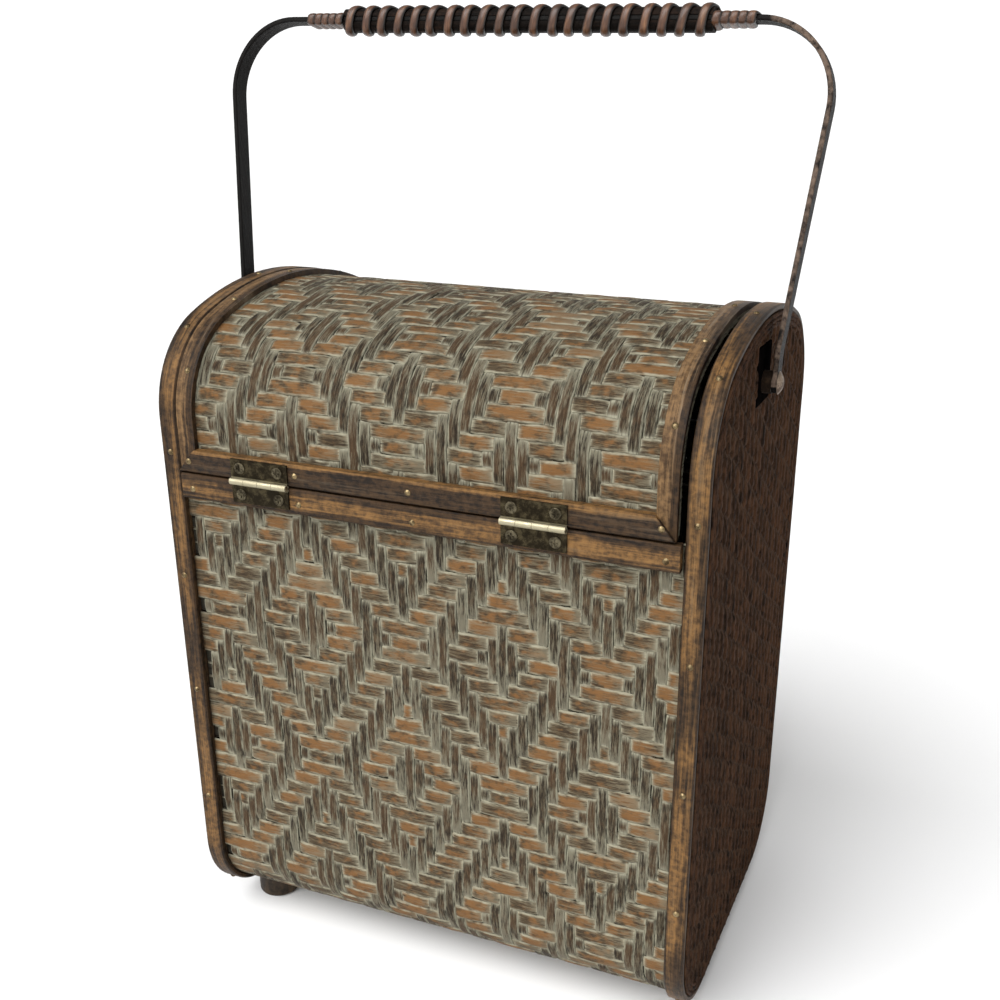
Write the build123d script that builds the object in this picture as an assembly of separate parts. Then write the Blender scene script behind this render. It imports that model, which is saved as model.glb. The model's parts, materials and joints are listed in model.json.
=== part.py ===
"""Domed basket box bag: two arched end boards joined by a woven body sheet and a woven,
barrel-vaulted lid, with edge strips, brass butt hinges, a bail handle and a swing hook.

Frame, in millimetres: +X to the right as seen from the hinge side, +Y towards the latch
side, +Z up. The origin is on the standing surface, under the middle of the case.
"""
from build123d import *
from math import atan2, degrees
import os

# ---- case outline --------------------------------------------------------------------
case_width = 225.0           # over the outer faces of the two rims
case_depth = 158.0           # over the rims, hinge side to latch side
case_height = 281.0          # bottom edge of a rim to the top of its arch
shoulder_height = 234.0      # where the straight sides meet the shoulder arcs
shoulder_radius = 40.0
bottom_radius = 35.0
foot_height = 7.0            # standing surface to the bottom edge of the rims

# ---- boards, sheets and strips -------------------------------------------------------
board_thickness = 7.0
rim_width = 8.0
rim_thickness = 2.5
sheet_thickness = 2.5
edge_round = 0.6             # worn round of the strips' long edges

opening_height = 212.8       # top of the body rails above the bottom edge of the rims
body_rail_height = 10.3
rail_thickness = 4.0
rail_end_gap = 1.2           # between a body rail's cut end and the rim
lid_rail_height = 9.0
lid_seam_gap = 0.8           # lid rail above body rail, at the hinges
lid_rest_gap = 0.3           # lid rail above body rail, at the latch
lid_gap_left = 0.4           # lid to end board
lid_gap_right = 3.3
lid_strip_width = 7.5
lid_strip_drop = 0.3         # lid strips lie this far inside the rims' outline

# ---- hinges --------------------------------------------------------------------------
hinge_length = 25.5
hinge_leaf_reach = 8.9       # pin axis to the edge of a leaf
hinge_leaf_thickness = 0.8
hinge_left_x = -65.8         # middle of each hinge
hinge_right_x = 49.2
knuckle_count = 4
knuckle_radius = 1.4
knuckle_gap = 0.12           # along the pin, between knuckles
pin_radius = 0.7
pin_clearance = 0.05         # radial, pin in knuckle
leaf_screw_pitch = 17.0      # between the two screws of one leaf
leaf_screw_reach = 5.4       # pin axis to screw axis
screw_head_radius = 2.3
screw_head_height = 0.45
screw_head_seat = 0.02       # leaf face to the underside of a head
head_round = 0.6             # share of a screw head's height that is rounded over
screw_shank_radius = 1.0
screw_length = 6.0
screw_hole_clearance = 0.15
screw_slot_width = 0.6
screw_slot_length = 2.6
screw_slot_depth = 0.3

# ---- tacks ---------------------------------------------------------------------------
tack_head_radius = 1.25
tack_head_height = 0.7
tack_shank_radius = 0.5
tack_length = 6.0
rim_tack_spacing = 52.0      # aimed at, along the rim
rail_tack_end = 5.0          # rail end to the first tack
rail_tack_drop = 6.2         # top of the body rail to its tacks
rail_tack_count = 5
lid_strip_tack_count = 5

# ---- feet ----------------------------------------------------------------------------
foot_radius = 9.3
foot_round = 2.0
foot_inset = 7.5             # board's inner face to the middle of a foot
foot_left_y = 48.0
foot_right_y = 36.0

# ---- handle --------------------------------------------------------------------------
pivot_height = 255.0         # above the bottom edge of the rims
pivot_y = -8.0
plate_width = 21.0           # iron plate under each pivot
plate_height = 22.0
plate_thickness = 1.2
plate_lift = 3.0             # middle of the plate above the pivot
plate_corner = 1.0
strap_width = 8.0
strap_thickness = 2.0
strap_clearance = 3.9        # rim's outer face to the strap, filled by a washer
strap_rise = 128.5           # pivot to the middle of the grip
strap_straight = 12.0        # part of each leg that stands square to the pivot
strap_splay = 11.0           # how far each leg spreads by the height of the grip
strap_corner = 28.0
strap_ankle = 20.0           # radius of the bend where the leg starts to spread
handle_lean = 11.2           # degrees from upright, towards the latch side
grip_left = -92.0            # ends of the wrapping
grip_right = 98.0
core_left = -74.0            # ends of the two canes
core_right = 80.0
core_thickness = 3.4         # each cane is as wide as the strap
core_corner = 3.3            # round of the canes' outer edges
wrap_thickness = 1.8
wrap_clearance = 0.01        # sleeve to strap and cores
rivet_radius = 1.6
rivet_clearance = 0.08       # radial, rivet in strap
rivet_head_radius = 4.4
rivet_head_height = 1.8
rivet_tail_radius = 3.2
rivet_tail_height = 0.8
washer_radius = 4.4
washer_clearance = 0.15      # along the rivet, either side of the strap

# ---- swing hook ----------------------------------------------------------------------
hook_width = 4.2
hook_eye_radius = 3.2        # round end that the screw passes through
hook_cheek_radius = 3.2      # round cheek beyond the notch
hook_cheek_shift = 1.2       # cheek's middle, away from the notch's mouth
hook_thickness = 1.0
hook_clearance = 0.3         # rail face to hook, and hook to screw head
hook_tip = 4.0               # the hook runs this far past the stud
hook_screw_radius = 1.2
hook_bore_clearance = 0.08
hook_screw_head = 2.6
stud_neck_radius = 1.2
stud_notch_clearance = 0.25
stud_head_radius = 2.6
stud_head_height = 1.2
hook_screw_drop = 5.2        # below the top of the body rail
stud_lift = 4.6              # above the bottom of the lid rail

# ---- values worked out from the sizes above ------------------------------------------
half_width = case_width / 2
half_depth = case_depth / 2
board_inner_x = half_width - rim_width
board_outer_x = board_inner_x + board_thickness
sheet_y = half_depth - rim_thickness            # outer face of the straight sheet walls
rail_face_y = sheet_y + rail_thickness
seam_top = opening_height + lid_seam_gap        # bottom of the lid rail at the hinges
hinge_axis_z = opening_height + lid_seam_gap / 2
hinge_axis_y = -(rail_face_y + knuckle_radius)
lid_left_x = -(board_inner_x - lid_gap_left)
lid_right_x = board_inner_x - lid_gap_right
base = Pos(0, 0, foot_height)


def outline(inset):
    """Face in the YZ plane with the end board's outline, moved in by inset: flat bottom,
    rounded corners, straight sides, shoulder arcs and one wide arc on top, all tangent."""
    across = half_depth - shoulder_radius
    rise = case_height - shoulder_height
    crown = (rise**2 + across**2 - shoulder_radius**2) / (2 * (rise - shoulder_radius))
    crown_z = case_height - crown
    turn = degrees(atan2(shoulder_height - crown_z, across))
    side = half_depth - inset
    corner = bottom_radius - inset
    corner_y = half_depth - bottom_radius
    edges = [
        Line((-corner_y, inset), (corner_y, inset)),
        CenterArc((corner_y, bottom_radius), corner, -90, 90),
        Line((side, bottom_radius), (side, shoulder_height)),
        CenterArc((across, shoulder_height), shoulder_radius - inset, 0, turn),
        CenterArc((0, crown_z), crown - inset, turn, 180 - 2 * turn),
        CenterArc((-across, shoulder_height), shoulder_radius - inset, 180 - turn, turn),
        Line((-side, shoulder_height), (-side, bottom_radius)),
        CenterArc((-corner_y, bottom_radius), corner, 180, 90),
    ]
    return Plane.YZ * make_face(Wire(edges))


def slab(inset, x_low, x_high):
    """The outline as a solid from x_low to x_high."""
    return Pos(x_low, 0, 0) * extrude(outline(inset), x_high - x_low)


def ring(inset_out, inset_in, x_low, x_high):
    """A band that follows the outline, between two insets."""
    return slab(inset_out, x_low, x_high) - slab(inset_in, x_low, x_high)


def block(x_low, x_high, y_low, y_high, z_low, z_high):
    """A box from its six faces."""
    size = Box(x_high - x_low, y_high - y_low, z_high - z_low)
    return Pos((x_low + x_high) / 2, (y_low + y_high) / 2, (z_low + z_high) / 2) * size


def along_x(radius, x_low, x_high, y, z):
    """A cylinder along X."""
    tube = Rot(0, 90, 0) * Cylinder(radius, x_high - x_low)
    return Pos((x_low + x_high) / 2, y, z) * tube


def above(z):
    """Everything above a height, as a box larger than the case."""
    return block(-case_width, case_width, -case_width, case_width, z, 2 * case_height)


def below(z):
    """Everything below a height, as a box larger than the case."""
    return block(-case_width, case_width, -case_width, case_width, -case_height, z)


# ---- case ----------------------------------------------------------------------------
def end_board(side):
    """One arched end board; side is -1 on the left and 1 on the right."""
    low, high = sorted((side * board_inner_x, side * board_outer_x))
    board = slab(rim_thickness, low, high)
    return board - along_x(rivet_radius, low, high, pivot_y, pivot_height)


def rim(side):
    """One bent strip round the edge of an end board."""
    low, high = sorted((side * board_inner_x, side * half_width))
    band = ring(0, rim_thickness, low, high)
    outer = band.faces().filter_by(Axis.X).edges()
    return chamfer(outer, edge_round)


def body_shell():
    """The sheet that runs down the hinge side, under the floor and up the latch side."""
    sheet = ring(rim_thickness, rim_thickness + sheet_thickness, -board_inner_x, board_inner_x)
    return sheet & below(opening_height)


def body_rail(side):
    """The strip along the top of a body wall; side is -1 at the hinges."""
    reach = board_inner_x - rail_end_gap
    low, high = sorted((side * sheet_y, side * rail_face_y))
    rail = block(-reach, reach, low, high, opening_height - body_rail_height, opening_height)
    face = rail.faces().sort_by(Axis.Y)[0 if side < 0 else -1]
    return chamfer(face.edges().filter_by(Axis.X), edge_round)


def foot(side_x, side_y):
    """A turned foot, coped on top to the sheet above it."""
    y = side_y * (foot_left_y if side_x < 0 else foot_right_y)
    peg_top = bottom_radius / 2
    peg = Cylinder(foot_radius, foot_height + peg_top)
    peg = fillet(peg.edges().sort_by(Axis.Z)[0], foot_round)
    x = side_x * (board_inner_x - foot_inset)
    peg = Pos(x, y, (peg_top - foot_height) / 2) * peg
    board = sorted((side_x * board_inner_x, side_x * half_width))
    return peg - slab(rim_thickness, -board_inner_x, board_inner_x) - slab(0, *board)


# ---- lid -----------------------------------------------------------------------------
def lid_bottom(side):
    """Height of the lid rail's lower face; side is -1 at the hinges."""
    return seam_top if side < 0 else opening_height + lid_rest_gap


def lid_shell():
    """The woven vault between the end boards."""
    sheet = ring(rim_thickness, rim_thickness + sheet_thickness, lid_left_x, lid_right_x)
    return sheet & above(seam_top)


def mitre(side_x, side_y):
    """Everything on the rail's side of the slanting joint with a lid end strip."""
    edge_x = lid_left_x if side_x < 0 else lid_right_x
    low = lid_bottom(side_y)
    inner_x = edge_x - side_x * lid_strip_width
    top = seam_top + lid_rail_height
    far = -side_x * case_width
    corners = [(edge_x, low), (inner_x, top), (far, top), (far, low - rail_thickness),
               (edge_x, low - rail_thickness)]
    face = Plane.XZ * make_face(Polyline(corners, close=True))
    wedge = extrude(face, case_depth)
    return wedge if side_y < 0 else Pos(0, case_depth, 0) * wedge


def lid_end_strip(side):
    """A bent strip over one end of the vault, mitred into both lid rails."""
    edge_x = lid_left_x if side < 0 else lid_right_x
    low, high = sorted((edge_x, edge_x - side * lid_strip_width))
    strip = ring(lid_strip_drop, rim_thickness, low, high) & above(seam_top)
    for side_y in (-1, 1):
        strip -= mitre(side, side_y)
    return strip


def lid_rail(side):
    """The strip along the lower edge of the lid, mitred at both ends."""
    low, high = sorted((side * sheet_y, side * rail_face_y))
    top = seam_top + lid_rail_height
    rail = block(lid_left_x, lid_right_x, low, high, lid_bottom(side), top)
    face = rail.faces().sort_by(Axis.Y)[0 if side < 0 else -1]
    rail = chamfer(face.edges().filter_by(Axis.X), edge_round)
    for side_x in (-1, 1):
        rail &= mitre(side_x, side)
    return rail


# ---- hinges --------------------------------------------------------------------------
def leaf_screw_spots(middle_x, up):
    """Screw axes of one leaf, as (x, z); up is 1 for the lid leaf and -1 for the body."""
    z = hinge_axis_z + up * leaf_screw_reach
    return [(middle_x + step * leaf_screw_pitch / 2, z) for step in (-1, 1)]


def hinge_leaf(middle_x, up):
    """One leaf with every second knuckle rolled on its edge."""
    face_y = -rail_face_y
    z_low, z_high = sorted((hinge_axis_z, hinge_axis_z + up * hinge_leaf_reach))
    left = middle_x - hinge_length / 2
    plate = block(left, left + hinge_length, face_y - hinge_leaf_thickness, face_y,
                  z_low, z_high)
    plate -= block(left, left + hinge_length, hinge_axis_y - knuckle_radius, face_y,
                   hinge_axis_z - knuckle_radius, hinge_axis_z + knuckle_radius)
    pitch = hinge_length / knuckle_count
    first = 0 if up > 0 else 1
    for index in range(first, knuckle_count, 2):
        low = left + index * pitch + knuckle_gap / 2
        high = low + pitch - knuckle_gap
        plate += along_x(knuckle_radius, low, high, hinge_axis_y, hinge_axis_z)
        strap_low, strap_high = sorted((hinge_axis_z, hinge_axis_z + up * 2 * knuckle_radius))
        plate += block(low, high, face_y - hinge_leaf_thickness, face_y, strap_low, strap_high)
    plate -= along_x(pin_radius + pin_clearance, left - 1, left + hinge_length + 1,
                     hinge_axis_y, hinge_axis_z)
    for x, z in leaf_screw_spots(middle_x, up):
        hole = Rot(90, 0, 0) * Cylinder(screw_shank_radius + screw_hole_clearance,
                                        4 * hinge_leaf_thickness)
        plate -= Pos(x, face_y, z) * hole
    return plate


def hinge_pin(middle_x):
    """The wire that the two leaves turn on."""
    half = hinge_length / 2
    return along_x(pin_radius, middle_x - half, middle_x + half, hinge_axis_y, hinge_axis_z)


def cross_screw(x, y, z, out):
    """A small wood screw with a cross slot; it points along Y and its head faces out."""
    head = Cylinder(screw_head_radius, screw_head_height, align=(Align.CENTER,
                    Align.CENTER, Align.MIN))
    head = fillet(head.edges().sort_by(Axis.Z)[-1], head_round * screw_head_height)
    shank = Cylinder(screw_shank_radius, screw_length, align=(Align.CENTER,
                     Align.CENTER, Align.MAX))
    slot = Box(screw_slot_length, screw_slot_width, 2 * screw_slot_depth)
    slot += Box(screw_slot_width, screw_slot_length, 2 * screw_slot_depth)
    screw = head + shank - Pos(0, 0, screw_head_height) * slot
    turn = Rot(90, 0, 0) if out < 0 else Rot(-90, 0, 0)
    return Pos(x, y, z) * turn * screw


def hinge_screws(up):
    """The four screws of the two lid leaves or of the two body leaves."""
    face_y = -rail_face_y - hinge_leaf_thickness - screw_head_seat
    spots = []
    for middle_x in (hinge_left_x, hinge_right_x):
        spots += leaf_screw_spots(middle_x, up)
    return Compound(children=[cross_screw(x, face_y, z, -1) for x, z in spots])


# ---- tacks ---------------------------------------------------------------------------
def tack(place):
    """A round-headed tack driven along -Z of a location, its head on the surface."""
    bulge = (tack_head_radius**2 + tack_head_height**2) / (2 * tack_head_height)
    dome = Pos(0, 0, tack_head_height - bulge) * Sphere(bulge)
    head = dome & Cylinder(2 * tack_head_radius, 2 * tack_head_height, align=(Align.CENTER,
                           Align.CENTER, Align.MIN))
    shank = Cylinder(tack_shank_radius, tack_length, align=(Align.CENTER, Align.CENTER,
                     Align.MAX))
    return place * (head + shank)


def edge_tacks(inset, x, spacing, keep):
    """Tacks at even steps along the outline at one x, where keep(location) is true."""
    path = outline(inset).face().outer_wire()
    count = round(path.length / spacing)
    found = []
    for index in range(count):
        spot = path @ ((index + 0.5) / count)
        way = path % ((index + 0.5) / count)
        out = Vector(0, way.Z, -way.Y)
        middle = Vector(0, 0, case_height / 2)
        if out.dot(Vector(0, spot.Y, spot.Z) - middle) < 0:
            out = -out
        place = Plane(origin=(x, spot.Y, spot.Z), x_dir=(1, 0, 0), z_dir=out)
        if keep(place.origin):
            found.append(tack(place.location))
    return found


def rim_tacks(side):
    """The tacks round one rim."""
    x = side * (board_inner_x + rim_width / 2)
    return Compound(children=edge_tacks(0, x, rim_tack_spacing, lambda spot: True))


def rail_tacks(height, left, right):
    """Tacks along both rails at one height, clear of the hinges and the hook."""
    found = []
    clear = hinge_length / 2 + 2 * tack_head_radius
    span = right - left - 2 * rail_tack_end
    for out in (-1, 1):
        for index in range(rail_tack_count):
            x = left + rail_tack_end + span * index / (rail_tack_count - 1)
            near_hinge = min(abs(x - hinge_left_x), abs(x - hinge_right_x)) < clear
            near_hook = abs(x) < clear
            if (out < 0 and near_hinge) or (out > 0 and near_hook):
                continue
            place = Plane(origin=(x, out * rail_face_y, height), x_dir=(1, 0, 0),
                          z_dir=(0, out, 0))
            found.append(tack(place.location))
    return found


def body_tacks():
    """The tacks of the two body rails."""
    reach = board_inner_x - rail_end_gap
    return Compound(children=rail_tacks(opening_height - rail_tack_drop, -reach, reach))


def lid_tacks():
    """The tacks of the lid rails and of the lid's end strips."""
    found = rail_tacks(seam_top + lid_rail_height / 2, lid_left_x, lid_right_x)
    lowest = seam_top + lid_rail_height + 2 * tack_head_radius
    whole = outline(lid_strip_drop).face().outer_wire().length
    arch = whole - 2 * (opening_height + case_depth / 2)
    for x in (lid_left_x + lid_strip_width / 2, lid_right_x - lid_strip_width / 2):
        found += edge_tacks(lid_strip_drop, x, arch / lid_strip_tack_count,
                            lambda spot: spot.Z > lowest)
    return Compound(children=found)


# ---- handle --------------------------------------------------------------------------
leg_x = half_width + strap_clearance + strap_thickness / 2
top_x = leg_x + strap_splay
lean = Pos(0, pivot_y, pivot_height) * Rot(-handle_lean, 0, 0)
core_height = strap_thickness + 2 * core_thickness


def bail_path():
    """Middle line of the strap, in the XZ plane with the pivots at height 0."""
    corners = [(leg_x, 0), (leg_x, strap_straight), (top_x, strap_rise)]
    corners += [(-x, z) for x, z in reversed(corners)]
    radii = [strap_ankle, strap_corner, strap_corner, strap_ankle]
    return Plane.XZ * FilletPolyline(*corners, radius=radii)


def handle_strap():
    """A flat strip bent into a bail, with round ends bored for the rivets."""
    section = Plane(origin=(leg_x, 0, 0), x_dir=(1, 0, 0), z_dir=(0, 0, 1))
    strip = sweep(section * RectangleRounded(strap_thickness, strap_width, edge_round),
                  path=bail_path())
    half = strap_thickness / 2
    for side in (-1, 1):
        strip += along_x(strap_width / 2, side * leg_x - half, side * leg_x + half, 0, 0)
    for side in (-1, 1):
        strip -= along_x(rivet_radius + rivet_clearance, side * leg_x - strap_thickness,
                         side * leg_x + strap_thickness, 0, 0)
    return lean * strip


def grip_bar(height, corner, grow, x_low, x_high):
    """A bar along the grip, as wide as the strap and height tall, larger by grow all round."""
    section = RectangleRounded(height + 2 * grow, strap_width + 2 * grow, corner + grow)
    across = Plane(origin=(x_low, 0, strap_rise), x_dir=(0, 0, 1), z_dir=(1, 0, 0))
    return extrude(across * section, x_high - x_low)


def grip_core(up):
    """A rounded cane laid on the top (up 1) or the underside (up -1) of the strap."""
    low, high = sorted((up * strap_thickness / 2, up * core_height / 2))
    half = block(core_left, core_right, -strap_width / 2, strap_width / 2,
                 strap_rise + low, strap_rise + high)
    return lean * (grip_bar(core_height, core_corner, 0, core_left, core_right) & half)


def grip_wrap():
    """The cane wrapping, as a sleeve: over the canes, and close on the strap at both ends."""
    outer = grip_bar(core_height, core_corner, wrap_thickness, core_left - wrap_thickness,
                     core_right + wrap_thickness)
    outer += grip_bar(strap_thickness, edge_round, wrap_thickness, grip_left, grip_right)
    inner = grip_bar(core_height, core_corner, wrap_clearance, core_left - wrap_clearance,
                     core_right + wrap_clearance)
    inner += grip_bar(strap_thickness, edge_round, wrap_clearance, grip_left, grip_right)
    return lean * (outer - inner)


def handle_rivet(side):
    """Domed rivet through the strap and the end board, peened over inside."""
    strap_out = leg_x + strap_thickness / 2 + washer_clearance
    bulge = (rivet_head_radius**2 + rivet_head_height**2) / (2 * rivet_head_height)
    dome = Sphere(bulge) & Pos(0, 0, bulge - rivet_head_height) * Cylinder(
        2 * rivet_head_radius, rivet_head_height, align=(Align.CENTER, Align.CENTER,
                                                         Align.MIN))
    head = Pos(strap_out + rivet_head_height - bulge, 0, 0) * Rot(0, 90, 0) * dome
    shank = along_x(rivet_radius, board_inner_x, strap_out, 0, 0)
    tail = along_x(rivet_tail_radius, board_inner_x - rivet_tail_height, board_inner_x, 0, 0)
    rivet = head + shank + tail
    if side < 0:
        rivet = Rot(0, 0, 180) * rivet
    return Pos(0, pivot_y, pivot_height) * rivet


def pivot_plate(side):
    """Thin iron plate on the end board, bored for the rivet."""
    face = Plane.YZ * RectangleRounded(plate_width, plate_height, plate_corner)
    low = board_outer_x if side > 0 else -board_outer_x - plate_thickness
    plate = Pos(low, pivot_y, pivot_height + plate_lift) * extrude(face, plate_thickness)
    return plate - along_x(rivet_radius, low, low + plate_thickness, pivot_y, pivot_height)


def handle_washer(side):
    """Spacer between the pivot plate and the strap."""
    low = board_outer_x + plate_thickness
    high = leg_x - strap_thickness / 2 - washer_clearance
    ends = sorted((side * low, side * high))
    disc = along_x(washer_radius, ends[0], ends[1], pivot_y, pivot_height)
    return disc - along_x(rivet_radius, ends[0], ends[1], pivot_y, pivot_height)


# ---- swing hook ----------------------------------------------------------------------
hook_screw_z = opening_height - hook_screw_drop
stud_z = seam_top + stud_lift
hook_reach = stud_z - hook_screw_z
hook_inner_y = rail_face_y + hook_clearance
hook_outer_y = hook_inner_y + hook_thickness


def latch_hook():
    """Flat brass hook, hanging from its screw, with a notch that takes the stud's neck."""
    notch = stud_neck_radius + stud_notch_clearance
    length = hook_reach + hook_tip
    shape = Pos(0, -length / 2) * Rectangle(hook_width, length)
    shape += Circle(hook_eye_radius)
    shape += Pos(0, -length) * Circle(hook_width / 2)
    shape += Pos(hook_cheek_shift, -hook_reach) * Circle(hook_cheek_radius)
    shape -= Pos(0, -hook_reach) * Circle(notch)
    shape -= Pos(-hook_width, -hook_reach) * Rectangle(2 * hook_width, 2 * notch)
    shape -= Circle(hook_screw_radius + hook_bore_clearance)
    hook = extrude(Plane.XZ * shape, -hook_thickness)
    return Pos(0, hook_inner_y, hook_screw_z) * hook


def round_stud(z, neck_radius, neck_out, head_radius, head_height):
    """A round-headed screw standing out of a rail on the latch side."""
    neck = Pos(0, rail_face_y + neck_out - (neck_out + screw_length) / 2, z) * (
        Rot(90, 0, 0) * Cylinder(neck_radius, neck_out + screw_length))
    head = Cylinder(head_radius, head_height)
    head = fillet(head.edges().sort_by(Axis.Z)[-1], head_round * head_height)
    head = Rot(-90, 0, 0) * head
    return neck + Pos(0, rail_face_y + neck_out + head_height / 2, z) * head


hook_stack = 2 * hook_clearance + hook_thickness

# ---- write one file per node ---------------------------------------------------------
nodes = {
    "end_panel_left": end_board(-1),
    "end_panel_right": end_board(1),
    "rim_left": rim(-1),
    "rim_right": rim(1),
    "body_shell": body_shell(),
    "body_rail_back": body_rail(-1),
    "body_rail_front": body_rail(1),
    "lid_shell": lid_shell(),
    "lid_end_strip_left": lid_end_strip(-1),
    "lid_end_strip_right": lid_end_strip(1),
    "lid_rail_back": lid_rail(-1),
    "lid_rail_front": lid_rail(1),
    "hinge_leaf_lid_left": hinge_leaf(hinge_left_x, 1),
    "hinge_leaf_lid_right": hinge_leaf(hinge_right_x, 1),
    "hinge_leaf_body_left": hinge_leaf(hinge_left_x, -1),
    "hinge_leaf_body_right": hinge_leaf(hinge_right_x, -1),
    "hinge_pin_left": hinge_pin(hinge_left_x),
    "hinge_pin_right": hinge_pin(hinge_right_x),
    "hinge_screws_lid": hinge_screws(1),
    "hinge_screws_body": hinge_screws(-1),
    "rim_tacks_left": rim_tacks(-1),
    "rim_tacks_right": rim_tacks(1),
    "rail_tacks_body": body_tacks(),
    "rail_tacks_lid": lid_tacks(),
    "handle_strap": handle_strap(),
    "grip_core_top": grip_core(1),
    "grip_core_bottom": grip_core(-1),
    "grip_wrap": grip_wrap(),
    "handle_rivet_left": handle_rivet(-1),
    "handle_rivet_right": handle_rivet(1),
    "pivot_plate_left": pivot_plate(-1),
    "pivot_plate_right": pivot_plate(1),
    "handle_washer_left": handle_washer(-1),
    "handle_washer_right": handle_washer(1),
    "latch_hook": latch_hook(),
    "latch_hook_screw": round_stud(hook_screw_z, hook_screw_radius, hook_stack,
                                   hook_screw_head, stud_head_height),
    "latch_stud": round_stud(stud_z, stud_neck_radius, hook_stack, stud_head_radius,
                             stud_head_height),
}
for side_x, name_x in ((-1, "left"), (1, "right")):
    for side_y, name_y in ((-1, "back"), (1, "front")):
        nodes[f"foot_{name_x}_{name_y}"] = foot(side_x, side_y)

os.makedirs("parts", exist_ok=True)
for name, shape in nodes.items():
    export_step(base * shape, f"parts/{name}.step")
print(len(nodes), "nodes written")
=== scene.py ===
# %% [markdown]
# # A woven box bag
#
# The bag has two arched end boards, a woven sheet bent round them as hinge side, floor and
# latch side, and a woven, barrel-vaulted lid. Wooden strips cover the edges, two small brass
# hinges carry the lid, and a bent strip wrapped in cane is the handle.
#
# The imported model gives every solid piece. This lesson gives those pieces their finishes and
# builds what a solid can't show: the splints that go over and under each other, the finer
# weave of the end boards, and the cane wound round the grip.

# %% Load the frame
import json

import bpy
import numpy as np
from mathutils import Matrix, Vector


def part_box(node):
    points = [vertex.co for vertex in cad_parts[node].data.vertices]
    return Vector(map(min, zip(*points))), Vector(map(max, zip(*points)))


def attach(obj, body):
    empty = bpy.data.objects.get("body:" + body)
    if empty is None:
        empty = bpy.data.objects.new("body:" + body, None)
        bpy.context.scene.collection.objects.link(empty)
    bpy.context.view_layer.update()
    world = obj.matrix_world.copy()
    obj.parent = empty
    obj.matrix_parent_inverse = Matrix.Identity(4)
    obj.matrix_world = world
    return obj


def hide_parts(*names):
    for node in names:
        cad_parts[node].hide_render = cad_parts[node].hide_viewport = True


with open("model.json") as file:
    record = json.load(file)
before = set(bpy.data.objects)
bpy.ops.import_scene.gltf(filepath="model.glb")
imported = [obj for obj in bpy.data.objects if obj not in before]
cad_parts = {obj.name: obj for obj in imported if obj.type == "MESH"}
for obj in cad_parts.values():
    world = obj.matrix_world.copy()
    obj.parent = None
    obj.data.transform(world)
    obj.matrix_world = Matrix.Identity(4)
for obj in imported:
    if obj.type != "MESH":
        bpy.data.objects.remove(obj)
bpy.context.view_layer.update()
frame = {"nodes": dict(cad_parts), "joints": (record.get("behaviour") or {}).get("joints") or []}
nodes = frame["nodes"]
rng = np.random.RandomState(7)
MM = 0.001


# %% [markdown]
# ## Helpers for shapes
#
# Every new shape here is a grid of points: many rows, each row a closed section. Hundreds of
# splints are one array, so the whole weave is computed at once and written to one mesh.


# %% Meshes from arrays
def box_mm(node):
    """Lowest and highest corner of a node, in millimetres, as two arrays."""
    low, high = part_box(node)
    return np.array(low) / MM, np.array(high) / MM


def signed_volume(points, quads):
    """Volume inside closed shells: the sum over faces of corner . (edge x edge) / 6, with
    each quad split in two. It is negative if the faces point inwards."""
    a, b, c, d = (points[quads[:, k]] for k in range(4))
    first = np.einsum("ij,ij->i", a, np.cross(b, c))
    second = np.einsum("ij,ij->i", a, np.cross(c, d))
    return (first.sum() + second.sum()) / 6


def make_piece(name, points, quads, body, attributes, smooth=True):
    """Writes points (N, 3) in millimetres and quads (M, 4) to a mesh that rides on a body. The
    attributes are numbers or vectors stored on its points, for its finish to read."""
    points = points.reshape(-1, 3)
    quads = quads.reshape(-1, 4)
    if signed_volume(points, quads) < 0:
        quads = quads[:, ::-1]
    mesh = bpy.data.meshes.new(name)
    mesh.vertices.add(len(points))
    mesh.vertices.foreach_set("co", (points * MM).astype(np.float32).ravel())
    mesh.loops.add(quads.size)
    mesh.loops.foreach_set("vertex_index", quads.astype(np.int32).ravel())
    mesh.polygons.add(len(quads))
    mesh.polygons.foreach_set("loop_start", np.arange(0, quads.size, 4, dtype=np.int32))
    mesh.polygons.foreach_set("use_smooth", np.full(len(quads), smooth))
    for key, values in attributes.items():
        values = np.asarray(values, np.float32)
        kind, field = ("FLOAT_VECTOR", "vector") if values.shape[-1] == 3 else ("FLOAT", "value")
        layer = mesh.attributes.new(key, kind, "POINT")
        layer.data.foreach_set(field, values.ravel())
    mesh.update(calc_edges=True)
    piece = bpy.data.objects.new(name, mesh)
    bpy.context.scene.collection.objects.link(piece)
    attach(piece, body)
    print(name, len(points), "points", 2 * len(quads), "triangles")
    return piece


def tube_quads(count, rows, section):
    """Faces of count tubes, each of rows sections joined ring to ring. The section has an
    even number of points. Quads cover both ends and turn the same way at both, so those of
    the far end face inwards."""
    ring = np.arange(section)
    start = np.arange(rows - 1)[:, None] * section
    one = np.stack([start + ring, start + np.roll(ring, -1), start + section + np.roll(ring, -1),
                    start + section + ring], -1).reshape(-1, 4)
    half = section // 2
    cap = np.array([(section - 1 - k, section - 2 - k, k + 1, k) for k in range(half - 1)])
    one = np.concatenate([one, cap, (rows - 1) * section + cap])
    step = np.arange(count)[:, None, None] * rows * section
    return (one[None] + step).reshape(-1, 4)


def smoothstep(t):
    """Goes from 0 to 1 as t does, level at both ends."""
    t = np.clip(t, 0, 1)
    return t * t * (3 - 2 * t)


# %% [markdown]
# ## The outline
#
# Both end boards have the same outline: a flat bottom, rounded corners, straight sides,
# shoulder arcs and one wide arc on top. A second outline a fixed distance inside it is made
# of arcs about the same centres, so the outline is worked out once as an angle for each arc.

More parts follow.
